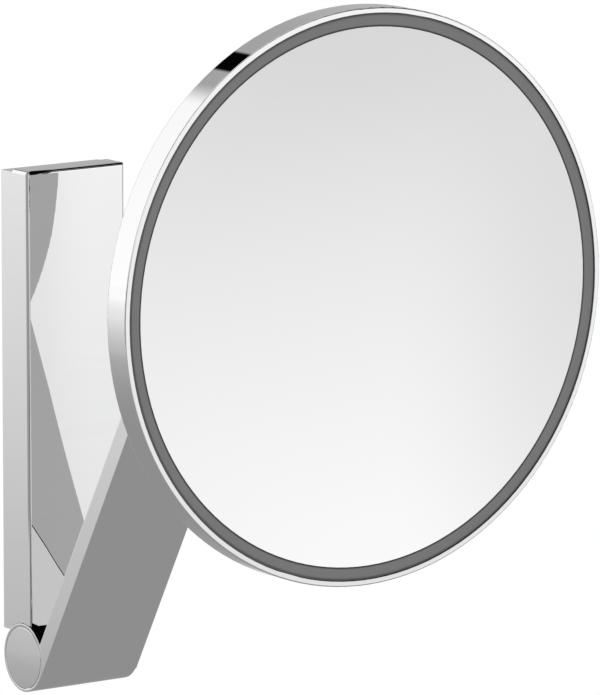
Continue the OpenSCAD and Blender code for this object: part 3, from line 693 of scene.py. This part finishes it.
# %% Plastics and rubber
# name: tone, other tone, clean and hazy roughness, scale of the grain, and its
# depth in metres
MOULDED = {
    "white_plastic": ((0.76, 0.76, 0.745, 1), (0.72, 0.72, 0.70, 1), 0.34, 0.48,
                      2400.0, 0.000018),
    "polymer": ((0.66, 0.61, 0.50, 1), (0.60, 0.55, 0.44, 1), 0.36, 0.50,
                3000.0, 0.000008),
    "black_rubber": ((0.010, 0.010, 0.011, 1), (0.022, 0.022, 0.023, 1), 0.58, 0.80,
                     1800.0, 0.00003),
}
for name, (tone, other_tone, clean, hazy, scale, depth) in MOULDED.items():
    tree, shader = start_finish(name, tone)
    grain = effect(tree, mould_tree, Scale=scale, Coarse=160.0)
    tint(tree, shader, ramp(tree, grain["Drift"], 0.35, 0.68), tone, other_tone)
    wipe(tree, shader, clean, hazy, 60.0)
    emboss(tree, shader, grain["Height"], depth)
    print(name, "made")

# %% [markdown]
# ## Foam pads
# Three pads of black closed-cell foam press the glass forward. Their surface is
# made of small cells, which a Voronoi pattern gives directly: each cell is a
# shallow dimple a quarter of a millimetre wide.

# %% Foam
FOAM = (0.014, 0.014, 0.015, 1)
CELL_FLOOR, CELL_WALL = (0.008, 0.008, 0.009, 1), (0.024, 0.024, 0.025, 1)
CELLS_PER_METRE, CELL_DEPTH = 4000.0, 0.00008

tree, shader = start_finish("foam", FOAM)
cells = add(tree, "TexVoronoi", {"Vector": add(tree, "TexCoord").outputs["Object"],
                                 "Scale": CELLS_PER_METRE}).outputs["Distance"]
tint(tree, shader, ramp(tree, cells, 0.1, 0.6), CELL_FLOOR, CELL_WALL)
wipe(tree, shader, 0.82, 0.95, 80.0)
emboss(tree, shader, cells, CELL_DEPTH)
print("foam made")

# %% [markdown]
# ## The light board
# The diodes sit on a ring-shaped board with white lacquer. Two copper tracks run
# all the way round under the lacquer and show through as slightly raised, warmer
# bands. The distance from the axis places them.

# %% Circuit board
board_low, board_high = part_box("led_board")
BOARD_OUTER = (board_high.x - board_low.x) / 2
LACQUER, OVER_TRACK = (0.74, 0.78, 0.74, 1), (0.66, 0.64, 0.52, 1)
TRACK_SPACING, TRACK_SHIFT, TRACK_RISE = 0.0023, 0.0004, 0.00003
TRACK_STARTS, TRACK_ENDS = (0.0006, 0.0007), (0.0012, 0.0011)

tree, shader = start_finish("circuit_board", LACQUER)
inward = calc(tree, "SUBTRACT", BOARD_OUTER, from_axis(tree))
near_edge = calc(tree, "MODULO", calc(tree, "ADD", inward, TRACK_SHIFT), TRACK_SPACING)
track = calc(tree, "MULTIPLY", ramp(tree, near_edge, *TRACK_STARTS),
             ramp(tree, near_edge, *TRACK_ENDS))
tint(tree, shader, track, LACQUER, OVER_TRACK)
wipe(tree, shader, 0.20, 0.34, 70.0)
emboss(tree, shader, track, TRACK_RISE)
print("board made, outer radius", round(1000 * BOARD_OUTER, 2), "mm")

# %% [markdown]
# ## The diodes
# Each diode is a small white case with a round window of yellow phosphor. There
# are many, evenly spaced on a circle, so the angle round the middle, folded to
# one spacing, gives the place along the ring, and the radius gives the place
# across it.

# %% Diodes
diode_low, diode_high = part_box("leds")
DIODES, HALF_DIODE = 48, 0.0014
DIODE_CIRCLE = (diode_high.x - diode_low.x) / 2 - HALF_DIODE
CASE, PHOSPHOR = (0.86, 0.86, 0.83, 1), (0.85, 0.66, 0.10, 1)
WINDOW_EDGE, WINDOW_RISE = (0.00118, 0.00108), 0.00008
spacing = math.tau / DIODES

tree, shader = start_finish("diode", PHOSPHOR, Coat_Weight=0.5)
place = vector_calc(tree, "SUBTRACT", add(tree, "TexCoord").outputs["Object"],
                    (0.0, 0.0, head_middle.z))
parts = add(tree, "SeparateXYZ", {0: place}).outputs
angle = calc(tree, "ARCTAN2", parts["Z"], parts["X"])
nearest = calc(tree, "ROUND", calc(tree, "DIVIDE", angle, spacing))
folded = calc(tree, "SUBTRACT", angle, calc(tree, "MULTIPLY", spacing, nearest))
along = calc(tree, "MULTIPLY", folded, DIODE_CIRCLE)
across = calc(tree, "SUBTRACT", from_axis(tree), DIODE_CIRCLE)
reach = vector_calc(tree, "LENGTH",
                    add(tree, "CombineXYZ", {0: along, 1: across}).outputs[0])
window = ramp(tree, reach, *WINDOW_EDGE)
tint(tree, shader, window, CASE, PHOSPHOR)
wipe(tree, shader, 0.18, 0.30, 200.0)
emboss(tree, shader, window, WINDOW_RISE)
print("diodes on a circle of", round(1000 * DIODE_CIRCLE, 2), "mm")

# %% [markdown]
# ## Every solid gets its finish
# The record names a material slot for each piece of the CAD model. The finishes
# above carry the same names, so handing them out is one loop.

# %% Give every solid its finish
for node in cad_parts.values():
    for place in node.material_slots:
        place.material = FINISH[place.material.name.split(".")[0]]
print(len(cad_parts), "solids dressed with", len(FINISH), "finishes")

# %% [markdown]
# ## Screws with recesses and threads
# In the CAD model a screw is a plain head on a plain shaft. A real one has a
# recess for its driver, a small round edge and a thread. Each screw here is a
# stack of rings joined into one skin, from the middle of the recess over the
# head and down the shaft. All rings have the same number of points, so any
# outline can pass into any other.

# %% Skins and recesses
SLOT_HALF, SLOT_REACH = 0.24, 0.92    # half width and reach, as shares of the recess
CORNER = 0.7072                       # the cosine at the inner corner of a cross


def new_piece(name, verts, faces, slot, crease):
    """A smooth piece from bare points, sharp where it turns by more than the crease."""
    mesh = bpy.data.meshes.new(name)
    mesh.from_pydata(verts, [], faces)
    mesh.validate()
    mesh.shade_smooth()
    mesh.set_sharp_from_angle(angle=math.radians(crease))
    mesh.materials.append(FINISH[slot])
    piece = bpy.data.objects.new(name, mesh)
    bpy.context.scene.collection.objects.link(piece)
    return piece


def recess(kind, size, angle):
    """How far a recess reaches from the middle at an angle."""
    if kind == "hex":
        return size / math.cos((angle % (math.pi / 3)) - math.pi / 6)
    c, s = max(abs(math.cos(angle)), 1e-6), max(abs(math.sin(angle)), 1e-6)
    half = size * SLOT_HALF
    if kind == "slot":
        return min(size * SLOT_REACH / c, half / s)
    return min(size / max(c, s), max(half / min(c, s), half / CORNER))


print("a cross reaches", [round(recess("cross", 1, math.radians(a)), 2) for a in (0, 45)])

# %% [markdown]
# ## The rings of one screw
# Each ring is a depth below the head's top and a rule for its radius. A
# countersunk head is nearly flat on top, and the others have a round edge and
# a straight side. The thread is a wave whose phase turns with the angle, so it
# climbs as a real one does.

# %% Rings of a screw
HEX_SIZE, OTHER_SIZE, EDGE = 0.50, 0.62, 0.10           # as shares of the head's radius
RECESS_DEPTH, DEEPEST_RECESS = 0.6, 0.0016              # a share of the head, and metres
EDGE_STEPS, THREAD_STEPS = 4, 6
PITCH, THREAD_MIDDLE, THREAD_HALF = 0.36, 0.91, 0.09    # as shares of the shaft's radius
TIP = ((0.5, 0.84), (0.0, 0.55), (0.0, 0.02))           # before the end, and radius
POINT = 0.02                                            # closes the recess's floor


def screw_rings(kind, head_r, head_t, shaft_r, length, countersunk=False):
    """Rings of one screw: pairs of depth below the head's top and radius by angle."""
    size = head_r * (HEX_SIZE if kind == "hex" else OTHER_SIZE)
    deep, edge = min(head_t * RECESS_DEPTH, DEEPEST_RECESS), head_r * EDGE
    rings = [(deep, lambda a: POINT * size), (deep, lambda a: recess(kind, size, a)),
             (edge * 0.5, lambda a: recess(kind, size, a)),
             (0.0, lambda a: min(recess(kind, size, a) * 1.08, head_r * 0.8))]
    rounding = edge * (0.3 if countersunk else 1.0)
    for part in range(EDGE_STEPS):
        turn = math.pi / 2 * part / (EDGE_STEPS - 1)
        rings.append((rounding * (1 - math.cos(turn)),
                      lambda a, t=turn: head_r - rounding * (1 - math.sin(t))))
    if not countersunk:
        rings.append((head_t, lambda a: head_r))
    rings.append((head_t, lambda a: shaft_r))
    pitch = shaft_r * PITCH
    at = head_t + pitch
    while at < length - 0.6 * shaft_r:
        rings.append((at, lambda a, z=at: shaft_r * (
            THREAD_MIDDLE + THREAD_HALF * math.cos(math.tau * z / pitch - a))))
        at += pitch / THREAD_STEPS
    for back, share in TIP:
        rings.append((length - back * shaft_r, lambda a, s=share: shaft_r * s))
    return rings


print("a 10 mm screw has", len(screw_rings("hex", 0.003, 0.002, 0.0015, 0.01)), "rings")

# %% [markdown]
# ## From rings to screws
# Two neighbouring rings are joined by a band of faces, and the first and the
# last ring are closed. All screws of one kind become one piece, because they
# stand for one node of the CAD model.

# %% Screw maker
AROUND, SCREW_CREASE = 48, 32


def make_screws(name, node, body, slot, rings, tops, inward):
    """One piece with a screw at each place in tops, pointing inward."""
    turn = Vector(inward).to_track_quat("Z", "Y").to_matrix()
    verts, faces = [], []
    for top in tops:
        first = len(verts)
        for depth, radius in rings:
            for step in range(AROUND):
                a = math.tau * step / AROUND
                local = Vector((radius(a) * math.cos(a), radius(a) * math.sin(a), depth))
                verts.append(Vector(top) + turn @ local)
        for level in range(len(rings) - 1):
            low = first + level * AROUND
            for step in range(AROUND):
                after = (step + 1) % AROUND
                faces.append((low + step, low + AROUND + step,
                              low + AROUND + after, low + after))
        last = first + (len(rings) - 1) * AROUND
        faces.append([first + step for step in range(AROUND)])
        faces.append([last + step for step in reversed(range(AROUND))])
    piece = new_piece(name, verts, faces, slot, SCREW_CREASE)
    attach(piece, body)
    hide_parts(node)
    print(name, "has", len(tops), "screws and", len(faces), "faces")


print("screw maker ready")

# %% [markdown]
# ## Screws of the wall profile
# The cover's two screws are countersunk with a hexagon recess, and they go in
# from the right. The knuckle's two are strong socket screws. Their places come
# from the boxes of the solids that they stand for.

# %% Cover and knuckle screws
LEFTWARD, BACKWARD = (-1, 0, 0), (0, 1, 0)
COVER_HEAD, COVER_SHAFT = 0.0013, 0.0015        # a head's height and a shaft's radius
KNUCKLE_HEAD, KNUCKLE_SHAFT = 0.0035, 0.0025

low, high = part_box("cover_screws")
head_r = (high.y - low.y) / 2
make_screws("cover_screws_hex", "cover_screws", "wall", "steel",
            screw_rings("hex", head_r, COVER_HEAD, COVER_SHAFT, high.x - low.x,
                        countersunk=True),
            [(high.x, (high.y + low.y) / 2, z) for z in (low.z + head_r, high.z - head_r)],
            LEFTWARD)

low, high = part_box("knuckle_screws")
head_r = (high.z - low.z) / 2
make_screws("knuckle_screws_hex", "knuckle_screws", "wall", "steel",
            screw_rings("hex", head_r, KNUCKLE_HEAD, KNUCKLE_SHAFT, high.y - low.y),
            [(x, low.y, low.z + head_r) for x in (low.x + head_r, high.x - head_r)],
            BACKWARD)

# %% [markdown]
# ## Small screws
# The terminals have slotted screws of brass, because brass holds a wire without
# rust. The driver and the head have small screws with a cross recess, which a
# power tool drives quickly.

# %% Terminal, driver and head screws
TERMINAL_HEAD, TERMINAL_SHAFT = 0.0012, 0.98    # the shaft as a share of the head
DRIVER_HEAD, DRIVER_SHAFT = 0.0016, 0.0015
HEAD_SCREW_R, HEAD_SCREW_HEAD, HEAD_SCREW_SHAFT = 0.0035, 0.0013, 0.002

low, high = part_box("terminal_screws")
head_r = (high.z - low.z) / 2
make_screws("terminal_screws_slotted", "terminal_screws", "wall", "brass",
            screw_rings("slot", head_r, TERMINAL_HEAD, head_r * TERMINAL_SHAFT,
                        high.y - low.y),
            [(x, low.y, low.z + head_r)
             for x in (low.x + head_r, (low.x + high.x) / 2, high.x - head_r)], BACKWARD)

low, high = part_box("driver_screws")
head_r = (high.x - low.x) / 2
make_screws("driver_screws_cross", "driver_screws", "wall", "steel",
            screw_rings("cross", head_r, DRIVER_HEAD, DRIVER_SHAFT, high.y - low.y),
            [((low.x + high.x) / 2, low.y, z) for z in (low.z + head_r, high.z - head_r)],
            BACKWARD)

low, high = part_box("head_screws")
make_screws("head_screws_cross", "head_screws", "head", "steel",
            screw_rings("cross", HEAD_SCREW_R, HEAD_SCREW_HEAD, HEAD_SCREW_SHAFT,
                        high.y - low.y),
            [(x, low.y, z) for x in (low.x + HEAD_SCREW_R, high.x - HEAD_SCREW_R)
             for z in (low.z + HEAD_SCREW_R, high.z - HEAD_SCREW_R)], BACKWARD)

# %% [markdown]
# ## Trim rings of the hinges
# Each end of a hinge barrel is faced with a polished ring, flush with the arm's
# side, and the cap sits inside it with a narrow groove between them. That groove
# draws the dark seam round the cap. A ring is a closed outline turned about the
# hinge axis: that is quicker to write than a bevelled tube, and the two small
# roundings stay exact.

# %% Outline of a trim ring
RING_STEPS, RING_CREASE = 128, 40
TRIM_OUT, TRIM_IN = 0.0133, 0.0122        # radii of barrel and cap opening
TRIM_FOOT, TRIM_TOP = 0.0214, 0.02256     # from the mirror's middle plane
OUTER_ROUND, OUTER_STEPS = 0.00018, 6
INNER_ROUND, INNER_STEPS = 0.00006, 3


def trim_outline():
    """Radius and distance from the middle plane, once round the section."""
    outline = [(TRIM_IN, TRIM_FOOT), (TRIM_OUT, TRIM_FOOT)]
    for part in range(OUTER_STEPS + 1):
        turn = math.pi / 2 * part / OUTER_STEPS
        outline.append((TRIM_OUT - OUTER_ROUND * (1 - math.cos(turn)),
                        TRIM_TOP - OUTER_ROUND * (1 - math.sin(turn))))
    for part in range(INNER_STEPS + 1):
        turn = math.pi / 2 * part / INNER_STEPS
        outline.append((TRIM_IN + INNER_ROUND * (1 - math.sin(turn)),
                        TRIM_TOP - INNER_ROUND * (1 - math.cos(turn))))
    return outline


print("the section has", len(trim_outline()), "corners")

# %% [markdown]
# ## Turning the rings
# The hinge axis runs from side to side through the middle of the box round the
# two caps. Both ends get the same ring, and the left one's faces are turned
# over, so that all of them look outward.

# %% Turn the rings
def trim_rings(name, hinge):
    """A ring on both ends of the hinge barrel that this node's box is centred on."""
    low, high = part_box(hinge)
    middle = (low + high) / 2
    outline, verts, faces = trim_outline(), [], []
    for side in (-1, 1):
        first = len(verts)
        for radius, away in outline:
            for step in range(RING_STEPS):
                a = math.tau * step / RING_STEPS
                verts.append((side * away, middle.y + radius * math.cos(a),
                              middle.z + radius * math.sin(a)))
        for row in range(len(outline)):
            here = first + row * RING_STEPS
            there = first + (row + 1) % len(outline) * RING_STEPS
            for step in range(RING_STEPS):
                after = (step + 1) % RING_STEPS
                face = [here + step, there + step, there + after, here + after]
                faces.append(face if side < 0 else face[::-1])
    piece = new_piece(name, verts, faces, "chrome", RING_CREASE)
    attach(piece, "arm")
    print(name, "round", [round(1000 * v, 2) for v in middle])


trim_rings("lower_trim_rings", "lower_caps")
trim_rings("upper_trim_rings", "upper_caps")

# %% [markdown]
# ## Colours as written
# The Standard view shows a colour as it was mixed. The default view would bend
# the bright greys, and the chrome would look dull.

# %% Choose the view
bpy.context.scene.view_settings.view_transform = "Standard"
print("view:", bpy.context.scene.view_settings.view_transform)

# %% [markdown]
# ## The box of what is shown
# The box of what is shown is measured over every piece that renders, leaving
# out the floor.

# %% Measure what is shown
low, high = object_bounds()
